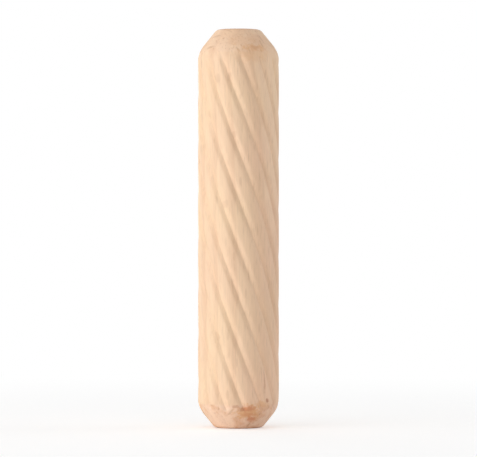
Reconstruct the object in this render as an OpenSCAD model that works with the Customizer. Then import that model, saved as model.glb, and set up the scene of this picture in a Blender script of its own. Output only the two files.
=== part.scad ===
// Spiral-grooved wooden dowel pin.
// One solid piece: a round shank, chamfered at both ends, with shallow glue grooves that
// wind round it from end to end. It stands on its lower flat end, whose centre is the
// origin, with its axis along +Z. All sizes are in millimetres and all angles in degrees.

/* [Shank] */
// Diameter over the lands, which are what the grooves leave between them. It is a little
// over the 8 mm of the hole that the pin is driven into.
pin_d = 8.15; // [6:0.05:12]
// Length from flat end to flat end
pin_l = 40; // [25:1:80]

/* [Ends] */
// Length of the upper chamfer, measured along the pin
upper_chamfer_l = 2.3; // [1.5:0.05:2.5]
// Length of the lower chamfer, measured along the pin
lower_chamfer_l = 2.05; // [1.5:0.05:2.5]
// Angle between a chamfer and the pin's axis
chamfer_angle = 39; // [20:0.5:45]
// Radius of the soft edge between the shank and a chamfer
shoulder_r = 0.8; // [0.3:0.1:1.4]
// Radius of the soft rim round a flat end
rim_r = 0.6; // [0.1:0.05:0.8]

/* [Grooves] */
// Number of grooves round the shank
groove_count = 13; // [6:1:16]
// Width of a groove between its edges, square to its run
groove_w = 0.8; // [0.4:0.05:1]
// Depth of a groove's deepest line below the lands
groove_depth = 0.19; // [0.08:0.01:0.3]
// Radius of the root where a groove's two straight sides meet
groove_root_r = 0.1; // [0.05:0.01:0.15]
// Angle between a groove's run and the pin's axis
groove_angle = 22; // [5:0.1:35]
// Angle round the axis at which the first groove passes the lower end's level
groove_start = 13; // [0:0.1:60]
// Way in which the grooves wind
groove_hand = "left"; // [left, right]

/* [Colour] */
// Red, green and blue of the bare beech
wood_color = [0.89, 0.75, 0.63]; // [0:0.01:1]

/* [Hidden] */
$fn = 96;
// Straight stretches that make up a cutter, along the pin and across a groove's root
cutter_sections = 36;
root_sections = 3;
// How far a cutter stands out past the shank's side
cutter_proud = 0.1;

pin_r = pin_d / 2;
// How far a shoulder's and a rim's arc reach along both of the sides that they join, the
// rim's as a share of its radius
shoulder_reach = shoulder_r * tan(chamfer_angle / 2);
rim_spread = tan((90 - chamfer_angle) / 2);
// A groove runs at a slant, so a section across the pin shows it wider than it is
half_mouth = groove_w / 2 / cos(groove_angle);
// Distance from the axis, square to the groove's mouth, of its two edges and of the
// centre of its root's arc
mouth_x = sqrt(pow(pin_r, 2) - pow(half_mouth, 2));
root_x = pin_r - groove_depth + groove_root_r;
// Angle between a groove's side, which is tangent to the root's arc, and its mouth
side_angle = atan2(mouth_x - root_x, half_mouth)
    + asin(groove_root_r / norm([mouth_x - root_x, half_mouth]));
// Angle through which a groove winds round the pin from end to end
groove_turn = pin_l * tan(groove_angle) / pin_r * 180 / PI;

// Radius at which a chamfer's slope meets the level of its flat end
function end_r(chamfer_l) = pin_r - chamfer_l * tan(chamfer_angle);

// Radius of a flat end's rim, no larger than the flat end has room for
function end_rim_r(chamfer_l) = min(rim_r, end_r(chamfer_l) / (1 + rim_spread));

// Radius of a flat end inside its rim
function flat_r(chamfer_l) = end_r(chamfer_l) - end_rim_r(chamfer_l) * rim_spread;

// One end's outline, from the axis out to the shank's side. Each corner is cut off where
// its soft edge begins and ends.
function end_outline(chamfer_l) =
    let (
        along_chamfer = [sin(chamfer_angle), cos(chamfer_angle)],
        rim_reach = end_rim_r(chamfer_l) * rim_spread
    )
    [
        [0, 0],
        [flat_r(chamfer_l), 0],
        [end_r(chamfer_l), 0] + rim_reach * along_chamfer,
        [pin_r, chamfer_l] - shoulder_reach * along_chamfer,
        [pin_r, chamfer_l + shoulder_reach]
    ];

// The discs that round off one end's two corners.
module soft_edges(chamfer_l) {
    translate([pin_r - shoulder_r, chamfer_l + shoulder_reach]) circle(shoulder_r);
    translate([flat_r(chamfer_l), end_rim_r(chamfer_l)]) circle(end_rim_r(chamfer_l));
}

// Half of the pin's lengthwise section, before the grooves.
module half_section() {
    lower = end_outline(lower_chamfer_l);
    upper = end_outline(upper_chamfer_l);
    last = len(upper) - 1;
    polygon(concat(lower, [for (i = [last:-1:0]) [upper[i].x, pin_l - upper[i].y]]));
    soft_edges(lower_chamfer_l);
    translate([0, pin_l]) mirror([0, 1]) soft_edges(upper_chamfer_l);
}

// Section of one groove's cutter: the root's arc and the two sides, closed off outside
// the pin.
module groove_section() {
    root = [
        for (i = [0:root_sections])
            let (a = side_angle * (2 * i / root_sections - 1))
            [root_x, 0] + groove_root_r * [-cos(a), sin(a)]
    ];
    outer_x = pin_r + cutter_proud;
    outer_half = half_mouth + (outer_x - mouth_x) / tan(side_angle);
    polygon(concat(root, [[outer_x, outer_half], [outer_x, -outer_half]]));
}

// The cutters of all the grooves, wound round the pin together.
module groove_cutters() {
    linear_extrude(
        height = pin_l,
        twist = groove_hand == "left" ? groove_turn : -groove_turn,
        slices = cutter_sections,
        segments = 0
    )
        for (i = [0:groove_count - 1])
            rotate(groove_start + i * 360 / groove_count) groove_section();
}

module dowel_pin() {
    color(wood_color)
        difference() {
            rotate_extrude() half_section();
            groove_cutters();
        }
}

dowel_pin();
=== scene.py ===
import math
import random

import bpy
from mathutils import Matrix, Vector, noise


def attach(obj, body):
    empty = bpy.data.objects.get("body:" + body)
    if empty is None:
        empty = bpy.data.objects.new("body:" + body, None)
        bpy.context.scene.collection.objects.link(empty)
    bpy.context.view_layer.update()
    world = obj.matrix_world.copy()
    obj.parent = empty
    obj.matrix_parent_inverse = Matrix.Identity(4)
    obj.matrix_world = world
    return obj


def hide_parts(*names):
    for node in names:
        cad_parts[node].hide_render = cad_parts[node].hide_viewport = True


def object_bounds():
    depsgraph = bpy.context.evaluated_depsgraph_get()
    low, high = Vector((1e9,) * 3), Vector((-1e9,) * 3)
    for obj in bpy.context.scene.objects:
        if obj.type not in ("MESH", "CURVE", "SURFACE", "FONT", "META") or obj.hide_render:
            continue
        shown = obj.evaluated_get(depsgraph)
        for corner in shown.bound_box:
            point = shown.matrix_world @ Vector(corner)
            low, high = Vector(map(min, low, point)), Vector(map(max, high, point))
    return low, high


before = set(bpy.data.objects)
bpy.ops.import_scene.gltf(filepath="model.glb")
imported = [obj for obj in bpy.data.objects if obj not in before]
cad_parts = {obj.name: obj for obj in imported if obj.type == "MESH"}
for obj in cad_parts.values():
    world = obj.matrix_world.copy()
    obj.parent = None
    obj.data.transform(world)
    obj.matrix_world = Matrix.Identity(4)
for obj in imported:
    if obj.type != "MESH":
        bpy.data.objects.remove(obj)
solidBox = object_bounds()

mm = 0.001
pinRadius = solidBox[1].x / mm          # the pin's own sizes are in millimetres from here on
pinLength = solidBox[1].z / mm
print(f"solid loaded: {2 * pinRadius:.2f} mm across, {pinLength:.2f} mm long")


# a wire is one output of a node; sums and products of wires add Math nodes
class Wire:
    def __init__(self, sheet, socket):
        self.sheet = sheet
        self.socket = socket

    def __add__(self, other):
        return self.sheet.math("ADD", self, other)

    def __sub__(self, other):
        return self.sheet.math("SUBTRACT", self, other)

    def __rsub__(self, other):
        return self.sheet.math("SUBTRACT", other, self)

    def __mul__(self, other):
        return self.sheet.math("MULTIPLY", self, other)

    def __truediv__(self, other):
        return self.sheet.math("DIVIDE", self, other)

    def __rtruediv__(self, other):
        return self.sheet.math("DIVIDE", other, self)

    __radd__ = __add__
    __rmul__ = __mul__


class NodeSheet:
    def __init__(self, owner):
        owner.use_nodes = True
        self.tree = owner.node_tree
        self.tree.nodes.clear()

    # the node's settings are set first, then each socket gets its value or its wire; take is the output
    # to give back, or several by name
    def add(self, kind, settings=None, sockets=None, take=0):
        node = self.tree.nodes.new(kind)
        for name, value in (settings or {}).items():
            setattr(node, name, value)
        for name, value in (sockets or {}).items():
            socket = self.pick(node.inputs, name)
            if isinstance(value, Wire):
                self.tree.links.new(value.socket, socket)
            elif socket.type == "RGBA":
                socket.default_value = (*value, 1.0)
            else:
                socket.default_value = value
        if isinstance(take, tuple):
            return [Wire(self, self.pick(node.outputs, name)) for name in take]
        return Wire(self, self.pick(node.outputs, take)) if node.outputs else node

    def pick(self, sockets, name):
        shown = [s for s in sockets if s.enabled]
        return shown[name] if isinstance(name, int) else next(s for s in shown if s.name == name)

    def math(self, operation, *terms):
        return self.add("ShaderNodeMath", {"operation": operation}, dict(enumerate(terms)))

    def step(self, value, low, high):       # 0 below low, 1 above high, smooth between
        return self.add(
            "ShaderNodeMapRange", {"interpolation_type": "SMOOTHSTEP"},
            {"Value": value, "From Min": low, "From Max": high},
        )

    def mix(self, amount, first, second, blend="MIX"):
        return self.add(
            "ShaderNodeMix", {"data_type": "RGBA", "blend_type": blend},
            {"Factor": amount, "A": first, "B": second},
        )

    def tint(self, amount, color, factor):
        return self.mix(amount, color, factor, "MULTIPLY")

    def vector(self, x, y, z):
        return self.add("ShaderNodeCombineXYZ", None, {"X": x, "Y": y, "Z": z})

    def cells(self, place, sizes):          # a place counted in cells of these sizes
        return self.vector(*(part / size for part, size in zip(place, sizes)))

    def length(self, vector):
        return self.add("ShaderNodeVectorMath", {"operation": "LENGTH"}, {0: vector}, "Value")

    # soft noise about 0, one cell to a unit of the place
    def cloud(self, place, detail=2.0, roughness=0.5):
        return self.add(
            "ShaderNodeTexNoise", {"noise_dimensions": "3D"},
            {"Vector": place, "Scale": 1.0, "Detail": detail, "Roughness": roughness}, "Fac",
        ) - 0.5

    # a spot round a point in each cell: 1 nearer to it than core, 0 further off than edge
    def spots(self, place, core, edge):
        away = self.add("ShaderNodeTexVoronoi", None, {"Vector": place, "Scale": 1.0}, "Distance")
        return 1 - self.step(away, core, edge)


pin = {                             # millimetres and degrees
    # the solid's own form
    "upperChamfer": 2.3,
    "lowerChamfer": 2.05,
    "chamferAngle": 39,
    "shoulderRadius": 0.8,
    "rimRadius": 0.6,
    "grooves": 13,
    "grooveWidth": 0.8,
    "grooveDepth": 0.19,
    "grooveAngle": 22,
    "grooveStart": 13,
    "grooveWay": -1,                # -1 winds left-handed, 1 right-handed
    "grooveRoot": 0.12,             # roundness of a groove's root and edges, in shares of half its width
    "grooveEdge": 0.10,

    # what rolling has left uneven in the grooves
    "depthVariation": 0.35,         # share of the grooves' depth
    "upperFade": 1.3,               # the grooves grow shallower over this length below the upper chamfer,
    "depthLeft": 0.2,               # down to this share of their depth
    "grooveWander": 0.035,
    "grooveRaggedness": 0.025,
    "slowShare": 0.6,               # how much of the variation of depth is slow; the rest is quick
    "grooveNoise": {                # where each noise is read: step from groove to groove, place on a
                                    # groove's centre line, cells to a millimetre across it, and length of
                                    # a cell along the pin
        "wander": (7.3, 1.5, 0.0, 6.0),
        "ragged": (3.1, 0.0, 2.0, 0.45),
        "slowDepth": (5.7, 9.1, 0.0, 9.0),
        "quickDepth": (2.3, 4.4, 0.0, 2.0),
    },

    # what milling and handling have left on the rest; a ring is a noise's radius round the pin, in cells
    "landRounding": 0.012,          # fall of a land from its middle to its groove
    "landPower": 4,                 # the higher, the wider the flat middle of a land
    "landWaves": 0.012,
    "waveRing": 2.0,
    "waveLength": 5.0,
    "fibreRelief": 0.008,
    "fibreWidth": 0.22,
    "fibreLength": 3.5,
    "endRoughness": 0.018,
    "roughCells": 3.2,              # to a millimetre
    "roughOctaves": 3,
    "chamferUnevenness": 0.05,
    "unevenRing": 1.7,
    "unevenPlace": 20,              # read this far up for the upper end, and as far down for the lower one
    "shoulderWear": 0.1,            # how far a chamfer's outer edge is worn back
    "wearReach": 0.65,
    "pitCount": 46,                 # torn fibres: short hollows along the grain
    "pitDepth": (0.02, 0.05),
    "pitLength": (0.35, 1.3),       # half sizes
    "pitWidth": (0.07, 0.14),
    "seed": 8,

    # mesh rows along the outline, and columns across a groove, in shares of half its width
    "rowStep": 0.115,
    "endRowStep": 0.085,
    "faceRings": 14,
    "grooveColumns": (-1.12, -0.95, -0.75, -0.5, -0.25, -0.1, 0.0, 0.1, 0.25, 0.5, 0.75, 0.95),
    "landColumns": 6,
}


def outlineEnd(chamfer):
    # the lengthwise outline of one end, from its middle out to the shank:
    # radius, height and the outward normal's two parts
    slope = math.radians(pin["chamferAngle"])
    rim, shoulder = pin["rimRadius"], pin["shoulderRadius"]
    flatRadius = pinRadius - chamfer * math.tan(slope) - rim * math.tan((math.pi / 2 - slope) / 2)
    shoulderReach = shoulder * math.tan(slope / 2)
    rings = pin["faceRings"]
    rows = [(flatRadius * i / rings, 0.0, 0.0, -1.0) for i in range(1, rings)]

    def addArc(centreRadius, centreHeight, radius, first, last):
        steps = round(radius * (last - first) / pin["endRowStep"])
        for i in range(steps + 1):
            a = first + (last - first) * i / steps
            rows.append((
                centreRadius + radius * math.sin(a), centreHeight - radius * math.cos(a),
                math.sin(a), -math.cos(a),
            ))

    addArc(flatRadius, rim, rim, 0.0, math.pi / 2 - slope)
    fromRadius, fromHeight = rows[-1][:2]
    toRadius = pinRadius - shoulderReach * math.sin(slope)
    toHeight = chamfer - shoulderReach * math.cos(slope)
    steps = round(math.dist((fromRadius, fromHeight), (toRadius, toHeight)) / pin["endRowStep"])
    for i in range(1, steps):
        share = i / steps
        rows.append((
            fromRadius + (toRadius - fromRadius) * share, fromHeight + (toHeight - fromHeight) * share,
            math.cos(slope), -math.sin(slope),
        ))
    addArc(pinRadius - shoulder, chamfer + shoulderReach, shoulder, math.pi / 2 - slope, math.pi / 2)
    return rows


def outlineRows():
    lower = outlineEnd(pin["lowerChamfer"])
    upper = [(r, pinLength - z, nr, -nz) for r, z, nr, nz in outlineEnd(pin["upperChamfer"])]
    bottom, top = lower[-1][1], upper[-1][1]
    steps = round((top - bottom) / pin["rowStep"])
    shank = [(pinRadius, bottom + (top - bottom) * i / steps, 1.0, 0.0) for i in range(1, steps)]
    return lower + shank + upper[::-1]


def columnPlaces():
    # places across one groove and one land, in shares of the pitch, 0 on the groove's centre line
    pitch = 2 * math.pi * pinRadius / pin["grooves"] * math.cos(math.radians(pin["grooveAngle"]))
    half = pin["grooveWidth"] / 2 / pitch
    inGroove = [half * share for share in pin["grooveColumns"]]
    first = -inGroove[0]
    land = 1 - 2 * first
    onLand = [first + land * i / pin["landColumns"] for i in range(pin["landColumns"])]
    return pitch, inGroove + onLand


def softRise(value, softness):          # value where it is positive, 0 where negative, rounded at 0
    return (value + math.hypot(value, softness)) / 2


def smoothShare(value):                 # 0 up to 0, 1 from 1 on, smooth between
    share = min(1.0, max(0.0, value))
    return share * share * (3 - 2 * share)


def noiseIn(kind, groove, across, z):   # about 0
    grooveStep, start, acrossCells, length = pin["grooveNoise"][kind]
    return noise.noise(Vector((groove * grooveStep, start + across * acrossCells, z / length)))


def noiseShare(x, y, z):                # from 0 to 1
    return 0.5 + 0.5 * noise.noise(Vector((x, y, z)))


def grooveDepthAt(across, groove, z):
    # across is the distance from the groove's centre line, square to its run
    wander = pin["grooveWander"] * noiseIn("wander", groove, across, z)
    ragged = pin["grooveRaggedness"] * noiseIn("ragged", groove, across, z)
    x = (across + wander + ragged) / (pin["grooveWidth"] / 2)

    slow = pin["slowShare"] * noiseIn("slowDepth", groove, across, z)
    quick = (1 - pin["slowShare"]) * noiseIn("quickDepth", groove, across, z)
    depth = pin["grooveDepth"] * (1 + pin["depthVariation"] * (slow + quick))
    belowChamfer = pinLength - pin["upperChamfer"] - z
    depth *= pin["depthLeft"] + (1 - pin["depthLeft"]) * smoothShare(belowChamfer / pin["upperFade"])
    root = pin["grooveRoot"]
    return depth * max(0.0, softRise(1 + root - math.hypot(x, root), pin["grooveEdge"]))


def scatterPits():
    dice = random.Random(pin["seed"])
    return [
        (
            dice.uniform(0, 2 * math.pi),
            dice.uniform(pin["lowerChamfer"], pinLength - pin["upperChamfer"]),
            dice.uniform(*pin["pitLength"]),
            dice.uniform(*pin["pitWidth"]),
            dice.uniform(*pin["pitDepth"]),
        )
        for _ in range(pin["pitCount"])
    ]


def pitDepthAt(angle, z, pits):
    depth = 0.0
    for pitAngle, pitHeight, length, width, deepest in pits:
        up = (z - pitHeight) / length
        if abs(up) >= 1:
            continue
        turn = (angle - pitAngle + math.pi) % (2 * math.pi) - math.pi
        side = turn * pinRadius / width
        if abs(side) < 1:
            depth += deepest * (1 - up * up) * (1 - side * side) ** 2
    return depth


def shoulderWearAt(z):
    chamfer = pin["lowerChamfer"] if z < pinLength / 2 else pin["upperChamfer"]
    fromEdge = (min(z, pinLength - z) - chamfer) / pin["wearReach"]
    return pin["shoulderWear"] * max(0.0, 1 - fromEdge ** 2) ** 2


def pinPoints(rows, pitch, places):
    pits = scatterPits()
    turnPerMm = pin["grooveWay"] * math.tan(math.radians(pin["grooveAngle"])) / pinRadius
    pitchAngle = 2 * math.pi / pin["grooves"]
    start = math.radians(pin["grooveStart"])
    halfLand = (pitch - pin["grooveWidth"]) / 2

    points = []
    for radius, z, outward, upward in rows:
        facing = abs(upward)
        wear = shoulderWearAt(z)
        for groove in range(pin["grooves"]):
            for place in places:
                angle = start + (groove + place) * pitchAngle + turnPerMm * z
                across = (place if place < 0.5 else place - 1) * pitch
                c, s = math.cos(angle), math.sin(angle)

                # how far the rolled shank's surface lies inside its cylinder
                towardsGroove = min(1.0, (pitch / 2 - abs(across)) / halfLand)
                wave = noiseShare(c * pin["waveRing"], s * pin["waveRing"], z / pin["waveLength"])
                sunk = pin["landRounding"] * towardsGroove ** pin["landPower"] + pin["landWaves"] * wave
                sunk += grooveDepthAt(across, groove, z) + pitDepthAt(angle, z, pits)
                cut = max(0.0, sunk - (pinRadius - radius))      # a chamfer cuts the grooves away

                # fibres stand out a little along the shank, and the cut ends are rougher
                x, y = c * radius, s * radius
                fibre = noiseShare(x / pin["fibreWidth"], y / pin["fibreWidth"], z / pin["fibreLength"])
                dent = wear + pin["fibreRelief"] * fibre
                rough = noise.turbulence(Vector((x, y, z)) * pin["roughCells"], pin["roughOctaves"], True)
                dent += facing * pin["endRoughness"] * min(1.0, max(0.0, rough))
                if upward and outward:
                    end = math.copysign(pin["unevenPlace"], upward)
                    side = noiseShare(c * pin["unevenRing"], s * pin["unevenRing"], end)
                    dent += facing * outward * pin["chamferUnevenness"] * side
                surfaceRadius = radius - cut - dent * outward
                points.append((surfaceRadius * c * mm, surfaceRadius * s * mm, (z - dent * upward) * mm))
    return points + [(0.0, 0.0, 0.0), (0.0, 0.0, pinLength * mm)]


def pinFaces(rowCount, width):
    # quads between the rows, and a fan of triangles round the middle of each flat end
    faces = []
    for i in range(rowCount - 1):
        for j in range(width):
            k = (j + 1) % width
            faces.append((i * width + j, i * width + k, (i + 1) * width + k, (i + 1) * width + j))
    last = (rowCount - 1) * width
    bottom, top = rowCount * width, rowCount * width + 1
    for j in range(width):
        k = (j + 1) % width
        faces.append((bottom, k, j))
        faces.append((top, last + j, last + k))
    return faces


def buildPin():
    rows = outlineRows()
    pitch, places = columnPlaces()
    width = pin["grooves"] * len(places)
    faces = pinFaces(len(rows), width)
    mesh = bpy.data.meshes.new("dowelPin")
    mesh.from_pydata(pinPoints(rows, pitch, places), [], faces)
    mesh.validate()
    mesh.polygons.foreach_set("use_smooth", [True] * len(mesh.polygons))

    # 0 on the shank and 1 on the flat ends, for the finish
    endFacing = [abs(upward) for _, _, _, upward in rows for _ in range(width)] + [1.0, 1.0]
    mesh.attributes.new("endFacing", "FLOAT", "POINT").data.foreach_set("value", endFacing)
    mesh.update()
    piece = bpy.data.objects.new("dowelPin", mesh)
    bpy.context.scene.collection.objects.link(piece)
    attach(piece, "root")
    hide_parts("dowel_pin")
    triangles = sum(len(face) - 2 for face in faces)
    print(f"pin mesh: {len(rows)} rows of {width} points, {triangles} triangles")
    return piece


beech = {                           # linear colours; lengths in mm; sizes out from the tree's heart,
                                    # round it and up it
    "pith": (-31.0, 24.0),          # from the pin's axis to the tree's heart
    "lean": (0.022, -0.014),        # the grain's run across the pin, mm per mm of height
    "sway": {"size": (9.0, 9.0, 22.0), "reach": 1.6},                    # the rings' slow bends

    "earlywood": (0.815, 0.573, 0.385),
    "latewood": (0.735, 0.49, 0.32),
    "ringWidth": 1.75,
    "waver": {"out": 4.0, "place": 3.0, "up": 60.0, "reach": 0.8},       # makes some rings wider than others
    "late": (0.35, 0.93),           # where in a ring the wood begins to darken, and where it is darkest
    "lateShare": 0.75,

    # fibres, their strands and pores run up the tree; rays are thin upright sheets that run out from its
    # heart; specks are where fibres have torn at the ends
    "fibre": {"size": (0.30, 0.30, 5.0), "detail": 3.0, "roughness": 0.6},
    "fibreShade": 0.16,
    "strand": {"size": (0.10, 0.10, 1.6), "detail": 2.0, "roughness": 0.6},
    "strandShade": 0.17,
    "pore": {"size": (0.19, 0.19, 2.2), "core": 0.14, "edge": 0.34},
    "poreColor": (0.42, 0.25, 0.15),
    "poreShare": (0.13, 0.07),      # how far it shows everywhere, and how much further where the wood is cut
    "ray": {"size": (3.4, 0.42, 2.6), "core": 0.12, "edge": 0.24},
    "rayColor": (0.52, 0.31, 0.19),
    "rayShare": (0.22, 0.15),
    "speck": {"size": (0.62, 0.27, 1.4), "core": 0.10, "edge": 0.30},
    "speckShare": 0.5,
    "cluster": {                    # where specks gather
        "size": 1.6, "shift": 6.4, "detail": 2.0, "roughness": 0.5, "step": (-0.10, 0.20),
    },

    # slow changes from straw to pink
    "pink": (0.815, 0.535, 0.37),
    "straw": (0.815, 0.60, 0.38),
    "pinkShare": 0.55,
    "strawShare": 0.45,
    "blotchSize": (5.0, 5.0, 8.0),  # along the pin's own directions
    "blotchReach": 0.22,
    "lowerPink": 0.12,              # how far it leans to pink, from top to foot and from the axis to +x; the lean to +x is painted warm shade on the side away from the window light
    "paintedShadePink": 0.10,

    # the cut ends, where fibres are cut across and look darker
    "cutLine": (2.3, 2.56),         # distance from a flat end over which the cut's look ends
    "cutRaggedness": 0.5,
    "cutShare": 0.4,
    # the lower end's cut colour is lighter and pinker than the upper's: painted light on the foot, whose
    # chamfer faces down into shade
    "lowerCutWithPaintedLight": (0.87, 0.63, 0.51),
    "upperCut": (0.84, 0.615, 0.455),
    "cutChange": 5.0,               # distance from either end within which its own cut colour is full
    "cutBlotch": {
        "size": 1.7, "shift": 7.0, "detail": 3.0, "roughness": 0.6, "step": (-0.06, 0.12),
    },
    "cutBlotchTint": (0.90, 0.80, 0.71),
    "upperLoss": 0.6,               # share of the blotches' strength that the upper end lacks
    "flatTint": (0.93, 0.82, 0.76),
    "flatStep": (0.80, 0.97),       # how squarely a face looks up or down before it counts as flat
    "flatRaggedness": 0.10,
    "sawSpacing": 0.42,             # of the faint ridges that the saw left on the ends
    "sawWay": (0.8, 0.6),
    "sawWaver": 0.5,

    "rust": (0.42, 0.15, 0.08),
    "russet": (0.62, 0.24, 0.12),
    "tan": (0.70, 0.36, 0.15),
    "marks": (                      # degrees round from the front, mm up, half sizes in mm, strength, colour
        (15, 1.75, 1.6, 0.9, 0.75, "tan"),
        (34, 2.5, 1.1, 0.45, 0.4, "tan"),
        (14, 2.12, 0.9, 0.4, 0.65, "russet"),
        (17, 1.5, 1.0, 0.26, 0.4, "russet"),
        (22, 1.04, 0.55, 0.34, 0.75, "russet"),
        (4, 1.97, 0.6, 0.25, 0.3, "rust"),
        (-4, 2.32, 0.5, 0.18, 0.35, "rust"),
        (40, 4.8, 0.16, 1.4, 0.35, "rust"),
        (45, 2.84, 0.26, 0.28, 0.7, "rust"),
        (22, 37.4, 2.2, 1.1, 0.25, "tan"),
        (26, 37.95, 1.6, 0.4, 0.35, "tan"),
        (26, 38.0, 0.6, 0.3, 0.2, "rust"),
        (8, 38.7, 1.8, 0.7, 0.2, "tan"),
    ),
    "markStep": (0.35, 1.1),        # where a mark begins to fade and where it ends, in half sizes
    "markFacing": (0.0, 1.0),       # from the axis towards a mark's side, so that it isn't on the far side
    "speckle": {"size": 0.4, "detail": 3.0, "roughness": 0.7, "reach": 1.7},     # frays a mark

    "roughness": 0.6,
    "cutRoughness": 0.85,
    "fibreRoughness": 0.15,
    "specular": 0.4,
    "bump": 0.5,
    "bumpDepth": 0.03,
    "relief": {"fibre": 0.6, "strand": 0.5, "pore": -0.5, "ray": -0.2, "speck": -0.8, "saw": 0.15},
}


def woodPlace(sheet):
    # in mm: the pin's own directions, and the tree's: out from its heart, round it and up it
    place = sheet.add("ShaderNodeTexCoord", None, None, "Object")
    x, y, z = sheet.add("ShaderNodeSeparateXYZ", None, {"Vector": place}, ("X", "Y", "Z"))
    x, y, z = x / mm, y / mm, z / mm
    sway = sheet.cloud(sheet.cells((x, y, z), beech["sway"]["size"])) * beech["sway"]["reach"]
    easting = x + z * beech["lean"][0] - beech["pith"][0]
    northing = y + z * beech["lean"][1] - beech["pith"][1]
    heart = math.hypot(*beech["pith"])
    out = sheet.length(sheet.vector(easting, northing, 0.0)) + sway
    return (x, y, z), (out, sheet.math("ARCTAN2", northing, easting) * heart, z)


def addMarks(sheet, color, x, y, z):
    # brown marks, each a soft speckled spot on one side of the pin
    speckle = beech["speckle"]
    speckled = sheet.cells((x, y, z), [speckle["size"]] * 3)
    fray = sheet.cloud(speckled, speckle["detail"], speckle["roughness"]) * speckle["reach"]
    for turn, height, halfWidth, halfHeight, strength, tone in beech["marks"]:
        east, north = math.sin(math.radians(turn)), -math.cos(math.radians(turn))
        facing = sheet.step(x * east + y * north, *beech["markFacing"])
        around, above = (y * east - x * north) / halfWidth, (z - height) / halfHeight
        away = sheet.length(sheet.vector(around, 0.0, above)) + fray
        share = (1 - sheet.step(away, *beech["markStep"])) * facing * strength
        color = sheet.mix(share, color, beech[tone])
    return color


def makeBeech():
    material = bpy.data.materials.new("bareBeech")
    sheet = NodeSheet(material)
    (x, y, z), wood = woodPlace(sheet)
    out = wood[0]

    def grain(name):
        part = beech[name]
        return sheet.cloud(sheet.cells(wood, part["size"]), part["detail"], part["roughness"])

    def spots(name):
        part = beech[name]
        return sheet.spots(sheet.cells(wood, part["size"]), part["core"], part["edge"])

    def patches(name):                  # shifted up, so that they lie well on the ends
        part = beech[name]
        place = sheet.cells((x, y, z + part["shift"]), [part["size"]] * 3)
        return sheet.step(sheet.cloud(place, part["detail"], part["roughness"]), *part["step"])

    # growth rings: each darkens slowly, then stops at a sharp line
    waver = beech["waver"]
    waverPlace = sheet.vector(out / waver["out"], waver["place"], z / waver["up"])
    ring = out / beech["ringWidth"] + sheet.cloud(waverPlace, 1.0) * waver["reach"]
    inRing = sheet.math("FRACT", ring)
    darkest = beech["late"][1]
    late = sheet.step(inRing, *beech["late"]) * (1 - sheet.step(inRing, darkest, 1.0))

    fibre, strand = grain("fibre"), grain("strand")
    pore, ray = spots("pore"), spots("ray")

    # cut is 1 on the chamfers and the flat ends, and flat on the flat ends alone
    toEnd = sheet.math("MINIMUM", z, pinLength - z)
    cut = 1 - sheet.step(toEnd + fibre * beech["cutRaggedness"], *beech["cutLine"])
    facing = sheet.add("ShaderNodeAttribute", {"attribute_name": "endFacing"}, None, "Fac")
    flat = sheet.step(facing + strand * beech["flatRaggedness"], *beech["flatStep"])
    speck = spots("speck") * patches("cluster") * cut
    sawEast, sawNorth = beech["sawWay"]
    sawPlace = x * sawEast + y * sawNorth + fibre * beech["sawWaver"]
    saw = sheet.math("SINE", sawPlace * (2 * math.pi / beech["sawSpacing"])) * flat

    # pinker from top to foot, and pinker towards +x as painted warm shade on the side the window light
    # leaves dark
    pinkLeanAndPaintedShade = (0.5 - z / pinLength) * beech["lowerPink"] + x / pinRadius * beech["paintedShadePink"]
    blotch = sheet.cloud(sheet.cells((x, y, z), beech["blotchSize"])) + pinkLeanAndPaintedShade
    pinkness = sheet.step(blotch, 0.0, beech["blotchReach"])
    strawness = sheet.step(0 - blotch, 0.0, beech["blotchReach"])
    color = sheet.mix(late * beech["lateShare"], beech["earlywood"], beech["latewood"])
    color = sheet.mix(pinkness * beech["pinkShare"], color, beech["pink"])
    color = sheet.mix(strawness * beech["strawShare"], color, beech["straw"])
    shade = 1 + fibre * beech["fibreShade"] + strand * beech["strandShade"]
    color = sheet.tint(1.0, color, sheet.vector(shade, shade, shade))

    upper = sheet.step(z, beech["cutChange"], pinLength - beech["cutChange"])
    # the lighter lower cut colour is painted light on the foot
    cutColor = sheet.mix(upper, beech["lowerCutWithPaintedLight"], beech["upperCut"])
    color = sheet.mix(cut * beech["cutShare"], color, cutColor)
    rayShare = beech["rayShare"][0] + cut * beech["rayShare"][1]
    color = sheet.mix(ray * rayShare, color, beech["rayColor"])
    poreShare = beech["poreShare"][0] + cut * beech["poreShare"][1]
    color = sheet.mix(pore * poreShare, color, beech["poreColor"])
    color = sheet.mix(speck * beech["speckShare"], color, beech["rust"])
    cutBlotch = patches("cutBlotch") * cut * (1 - upper * beech["upperLoss"])
    color = sheet.tint(cutBlotch, color, beech["cutBlotchTint"])
    color = addMarks(sheet, color, x, y, z)
    color = sheet.tint(flat, color, beech["flatTint"])

    relief = beech["relief"]
    height = fibre * relief["fibre"] + strand * relief["strand"] + saw * relief["saw"]
    height = height + pore * relief["pore"] + ray * relief["ray"] + speck * relief["speck"]
    bump = sheet.add(
        "ShaderNodeBump", None,
        {"Strength": beech["bump"], "Distance": beech["bumpDepth"] * mm, "Height": height},
    )
    rough = beech["roughness"] + cut * (beech["cutRoughness"] - beech["roughness"])
    rough = rough + fibre * beech["fibreRoughness"]
    surface = sheet.add(
        "ShaderNodeBsdfPrincipled", None,
        {"Base Color": color, "Roughness": rough, "Specular IOR Level": beech["specular"], "Normal": bump},
    )
    sheet.add("ShaderNodeOutputMaterial", None, {"Surface": surface})
    print(f"bare beech made, {len(sheet.tree.nodes)} nodes")
    return material


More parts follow.
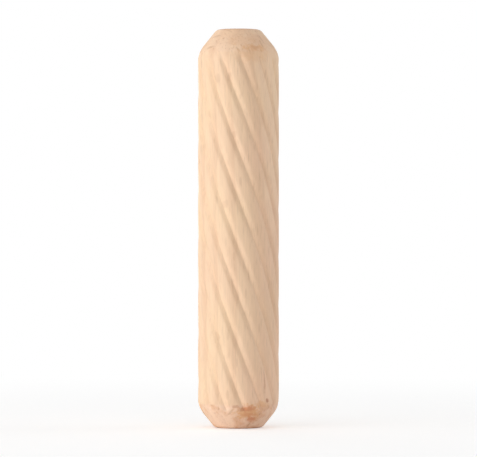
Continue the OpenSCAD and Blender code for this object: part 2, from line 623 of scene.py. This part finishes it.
studio = {                          # metres, degrees right of the camera and watts
    "floorSize": 3.0,
    "floorColor": (0.90, 0.90, 0.90),
    "floorGlow": 0.33,              # brightness added to the floor where it is seen
    "floorFade": (0.03, 0.11),      # distance from the pin over which the seen floor turns plain white
    "ambient": 0.45,
    "lamps": {
        "windowLight": {"turn": -54, "away": 0.45, "height": 0.035, "size": (0.70, 0.10), "watts": 2.05},
        "sideReflector": {"turn": 98, "away": 0.45, "height": 0.06, "size": (0.24, 0.16), "watts": 0.62},
        "backLight": {"turn": 195, "away": 0.45, "height": 0.06, "size": (0.40, 0.16), "watts": 0.6},
        "topLight": {"turn": -20, "away": 0.10, "height": 0.50, "size": (0.30, 0.30), "watts": 0.35},
    },
}

white = (1.0, 1.0, 1.0)


def seenShare(sheet):
    # 1 for what is looked at, straight, in a reflection or through glass; 0 for the light that it sheds
    camera, glossy, through = sheet.add(
        "ShaderNodeLightPath", None, None, ("Is Camera Ray", "Is Glossy Ray", "Is Transmission Ray"),
    )
    return sheet.math("MAXIMUM", sheet.math("MAXIMUM", camera, glossy), through)


def makeFloor():
    half = studio["floorSize"] / 2
    mesh = bpy.data.meshes.new("floor")
    corners = [(-half, -half, 0), (half, -half, 0), (half, half, 0), (-half, half, 0)]
    mesh.from_pydata(corners, [], [(0, 1, 2, 3)])
    floor = bpy.data.objects.new("floor", mesh)
    bpy.context.scene.collection.objects.link(floor)
    material = bpy.data.materials.new("paleFloor")
    sheet = NodeSheet(material)
    matte = sheet.add("ShaderNodeBsdfDiffuse", None, {"Color": studio["floorColor"]})
    glow = sheet.add("ShaderNodeEmission", None, {"Color": white, "Strength": studio["floorGlow"]})
    near = sheet.add("ShaderNodeAddShader", None, {0: matte, 1: glow})
    far = sheet.add("ShaderNodeEmission", None, {"Color": white, "Strength": 1.0})
    away = sheet.length(sheet.add("ShaderNodeTexCoord", None, None, "Object"))
    fade = sheet.step(away, *studio["floorFade"])
    seen = sheet.add("ShaderNodeMixShader", None, {0: fade, 1: near, 2: far})
    surface = sheet.add("ShaderNodeMixShader", None, {0: seenShare(sheet), 1: matte, 2: seen})
    sheet.add("ShaderNodeOutputMaterial", None, {"Surface": surface})
    mesh.materials.append(material)
    print("floor laid")


def lightPin():
    world = bpy.data.worlds.new("studio")
    bpy.context.scene.world = world
    sheet = NodeSheet(world)
    ambient = sheet.add("ShaderNodeBackground", None, {"Color": white, "Strength": studio["ambient"]})
    plain = sheet.add("ShaderNodeBackground", None, {"Color": white, "Strength": 1.0})
    surface = sheet.add("ShaderNodeMixShader", None, {0: seenShare(sheet), 1: ambient, 2: plain})
    sheet.add("ShaderNodeOutputWorld", None, {"Surface": surface})

    for name, lamp in studio["lamps"].items():
        light = bpy.data.lights.new(name, "AREA")
        light.shape = "RECTANGLE"
        light.size, light.size_y = lamp["size"]
        light.energy = lamp["watts"]
        stand = bpy.data.objects.new(name, light)
        bpy.context.scene.collection.objects.link(stand)
        turn = math.radians(lamp["turn"])
        stand.location = (math.sin(turn) * lamp["away"], -math.cos(turn) * lamp["away"], lamp["height"])
        aim = Vector((0, 0, pinLength * mm / 2)) - stand.location
        stand.rotation_euler = aim.to_track_quat("-Z", "Y").to_euler()
    print(f"studio lit by {len(studio['lamps'])} lamps and the background")


view = {                            # metres
    "distance": 0.30,               # from the pin's axis
    "fill": 0.87,                   # share of the image's height that the pin takes
    "imageSize": (477, 457),
    "nearest": 0.01,                # what is nearer than this isn't seen
}


def placeCamera():
    lens = bpy.data.cameras.new("camera")
    camera = bpy.data.objects.new("camera", lens)
    bpy.context.scene.collection.objects.link(camera)
    camera.location = (0, -view["distance"], pinLength * mm / 2)
    camera.rotation_euler = (math.pi / 2, 0, 0)
    wide, high = view["imageSize"]
    seenHeight = pinLength * mm / view["fill"]
    lens.lens = lens.sensor_width * view["distance"] / (seenHeight * wide / high)
    lens.clip_start = view["nearest"]
    bpy.context.scene.camera = camera
    print(f"camera placed, lens {lens.lens:.0f} mm")


bpy.context.scene.view_settings.view_transform = "Standard"
dowelPin = buildPin()
dowelPin.data.materials.append(makeBeech())
makeFloor()
lightPin()
placeCamera()
